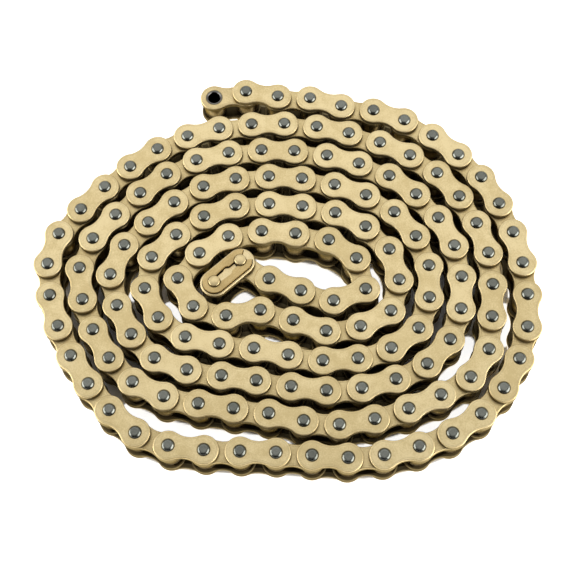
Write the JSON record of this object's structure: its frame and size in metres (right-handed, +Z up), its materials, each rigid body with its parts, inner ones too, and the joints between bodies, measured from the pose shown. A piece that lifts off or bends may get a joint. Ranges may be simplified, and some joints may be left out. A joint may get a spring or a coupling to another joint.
{
  "type": "motorcycle drive chain",
  "caption": "Motorcycle roller chain of 428 H size with gold plates and riveted pins, lying in a loose coil with its open end outside and its clip master link at the middle.",
  "frame": {"origin": "on the surface that the pin ends stand on, under the middle of the coil's outline", "axes": "+Z up along every pin, +X along link 3, which lies straight along it near the open end, and +Y from the coil's middle towards that link"},
  "size_m": [0.1888, 0.1554, 0.0195],
  "materials": {
    "plates": "satin gold-coloured plating on steel",
    "pins": "ground steel",
    "bushes": "oiled steel",
    "rollers": "oiled dark steel",
    "clip": "gold-coloured spring steel"
  },
  "bodies": {
    "coil": {"links_017_to_027": "plates", "links_028_to_037": "plates", "links_038_to_047": "plates", "links_048_to_057": "plates", "links_058_to_067": "plates", "links_068_to_077": "plates", "links_078_to_087": "plates", "links_088_to_097": "plates", "links_098_to_107": "plates", "links_108_to_117": "plates", "links_118_to_127": "plates", "links_128_to_137": "plates", "links_138_to_147": "plates", "link_148_outer_plate_lower": "plates", "link_148_outer_plate_upper": "plates", "link_148_pin_a": "pins", "link_148_pin_b": "pins", "link_149_inner_plate_lower": "plates", "link_149_inner_plate_upper": "plates", "link_149_bush_a": "bushes", "link_149_bush_b": "bushes"},
    "link_001": {"link_001_inner_plate_lower": "plates", "link_001_inner_plate_upper": "plates", "link_001_bush_a": "bushes", "link_001_bush_b": "bushes"},
    "link_002": {"link_002_outer_plate_lower": "plates", "link_002_outer_plate_upper": "plates", "link_002_pin_a": "pins", "link_002_pin_b": "pins"},
    "link_003": {"link_003_inner_plate_lower": "plates", "link_003_inner_plate_upper": "plates", "link_003_bush_a": "bushes", "link_003_bush_b": "bushes"},
    "link_004": {"link_004_outer_plate_lower": "plates", "link_004_outer_plate_upper": "plates", "link_004_pin_a": "pins", "link_004_pin_b": "pins"},
    "link_005": {"link_005_inner_whole": "plates"},
    "link_006": {"link_006_outer_whole": "plates"},
    "link_007": {"link_007_inner_whole": "plates"},
    "link_008": {"link_008_outer_whole": "plates"},
    "link_009": {"link_009_inner_whole": "plates"},
    "link_010": {"link_010_outer_whole": "plates"},
    "link_011": {"link_011_inner_whole": "plates"},
    "link_012": {"link_012_outer_whole": "plates"},
    "link_013": {"link_013_inner_whole": "plates"},
    "link_014": {"link_014_outer_whole": "plates"},
    "link_015": {"link_015_inner_whole": "plates"},
    "link_016": {"link_016_outer_whole": "plates"},
    "link_001_roller_a": {"link_001_roller_a": "rollers"},
    "link_001_roller_b": {"link_001_roller_b": "rollers"},
    "link_003_roller_a": {"link_003_roller_a": "rollers"},
    "link_003_roller_b": {"link_003_roller_b": "rollers"},
    "link_149_roller_a": {"link_149_roller_a": "rollers"},
    "link_149_roller_b": {"link_149_roller_b": "rollers"},
    "master_link": {"master_link_pin_plate": "plates", "master_link_cover_plate": "plates", "master_link_spring_clip": "clip", "master_link_pin_a": "pins", "master_link_pin_b": "pins"}
  },
  "joints": [
    {"name": "link_016_hinge", "type": "hinge", "parent": "coil", "child": "link_016", "pos_m": [0.08072, -0.04241, 0.0093], "axis": [0, 0, -1], "range_deg": [0, 28]},
    {"name": "link_015_hinge", "type": "hinge", "parent": "link_016", "child": "link_015", "pos_m": [0.08624, -0.03098, 0.0093], "axis": [0, 0, -1], "range_deg": [0, 28]},
    {"name": "link_014_hinge", "type": "hinge", "parent": "link_015", "child": "link_014", "pos_m": [0.089, -0.01858, 0.0093], "axis": [0, 0, -1], "range_deg": [0, 28]},
    {"name": "link_013_hinge", "type": "hinge", "parent": "link_014", "child": "link_013", "pos_m": [0.08898, -0.00588, 0.0093], "axis": [0, 0, -1], "range_deg": [0, 28]},
    {"name": "link_012_hinge", "type": "hinge", "parent": "link_013", "child": "link_012", "pos_m": [0.08707, 0.00668, 0.0093], "axis": [0, 0, -1], "range_deg": [0, 28]},
    {"name": "link_011_hinge", "type": "hinge", "parent": "link_012", "child": "link_011", "pos_m": [0.0834, 0.01883, 0.0093], "axis": [0, 0, -1], "range_deg": [0, 28]},
    {"name": "link_010_hinge", "type": "hinge", "parent": "link_011", "child": "link_010", "pos_m": [0.07804, 0.03035, 0.0093], "axis": [0, 0, -1], "range_deg": [0, 28]},
    {"name": "link_009_hinge", "type": "hinge", "parent": "link_010", "child": "link_009", "pos_m": [0.07113, 0.041, 0.0093], "axis": [0, 0, -1], "range_deg": [0, 28]},
    {"name": "link_008_hinge", "type": "hinge", "parent": "link_009", "child": "link_008", "pos_m": [0.06219, 0.05003, 0.0093], "axis": [0, 0, -1], "range_deg": [0, 28]},
    {"name": "link_007_hinge", "type": "hinge", "parent": "link_008", "child": "link_007", "pos_m": [0.05206, 0.05768, 0.0093], "axis": [0, 0, -1], "range_deg": [0, 28]},
    {"name": "link_006_hinge", "type": "hinge", "parent": "link_007", "child": "link_006", "pos_m": [0.04091, 0.06376, 0.0093], "axis": [0, 0, -1], "range_deg": [0, 28]},
    {"name": "link_005_hinge", "type": "hinge", "parent": "link_006", "child": "link_005", "pos_m": [0.02872, 0.06732, 0.0093], "axis": [0, 0, -1], "range_deg": [0, 28]},
    {"name": "link_004_hinge", "type": "hinge", "parent": "link_005", "child": "link_004", "pos_m": [0.01607, 0.06846, 0.0093], "axis": [0, 0, -1], "range_deg": [0, 28]},
    {"name": "link_003_hinge", "type": "hinge", "parent": "link_004", "child": "link_003", "pos_m": [0.00365, 0.07112, 0.0093], "axis": [0, 0, -1], "range_deg": [0, 28]},
    {"name": "link_002_hinge", "type": "hinge", "parent": "link_003", "child": "link_002", "pos_m": [-0.00905, 0.07112, 0.0093], "axis": [0, 0, -1], "range_deg": [0, 28]},
    {"name": "link_001_hinge", "type": "hinge", "parent": "link_002", "child": "link_001", "pos_m": [-0.02169, 0.07237, 0.0093], "axis": [0, 0, -1], "range_deg": [0, 28]},
    {"name": "master_link_hinge", "type": "hinge", "parent": "coil", "child": "master_link", "pos_m": [-0.01737, -0.00024, 0.0093], "axis": [0, 0, 1], "range_deg": [-4, 1.5]},
    {"name": "link_001_roller_a_spin", "type": "hinge", "parent": "link_001", "child": "link_001_roller_a", "pos_m": [-0.03417, 0.07002, 0.0093], "axis": [0, 0, 1], "continuous": true},
    {"name": "link_001_roller_b_spin", "type": "hinge", "parent": "link_001", "child": "link_001_roller_b", "pos_m": [-0.02169, 0.07237, 0.0093], "axis": [0, 0, 1], "continuous": true},
    {"name": "link_003_roller_a_spin", "type": "hinge", "parent": "link_003", "child": "link_003_roller_a", "pos_m": [-0.00905, 0.07112, 0.0093], "axis": [0, 0, 1], "continuous": true},
    {"name": "link_003_roller_b_spin", "type": "hinge", "parent": "link_003", "child": "link_003_roller_b", "pos_m": [0.00365, 0.07112, 0.0093], "axis": [0, 0, 1], "continuous": true},
    {"name": "link_149_roller_a_spin", "type": "hinge", "parent": "coil", "child": "link_149_roller_a", "pos_m": [-0.00623, -0.00634, 0.0093], "axis": [0, 0, 1], "continuous": true},
    {"name": "link_149_roller_b_spin", "type": "hinge", "parent": "coil", "child": "link_149_roller_b", "pos_m": [-0.01737, -0.00024, 0.0093], "axis": [0, 0, 1], "continuous": true}
  ]
}
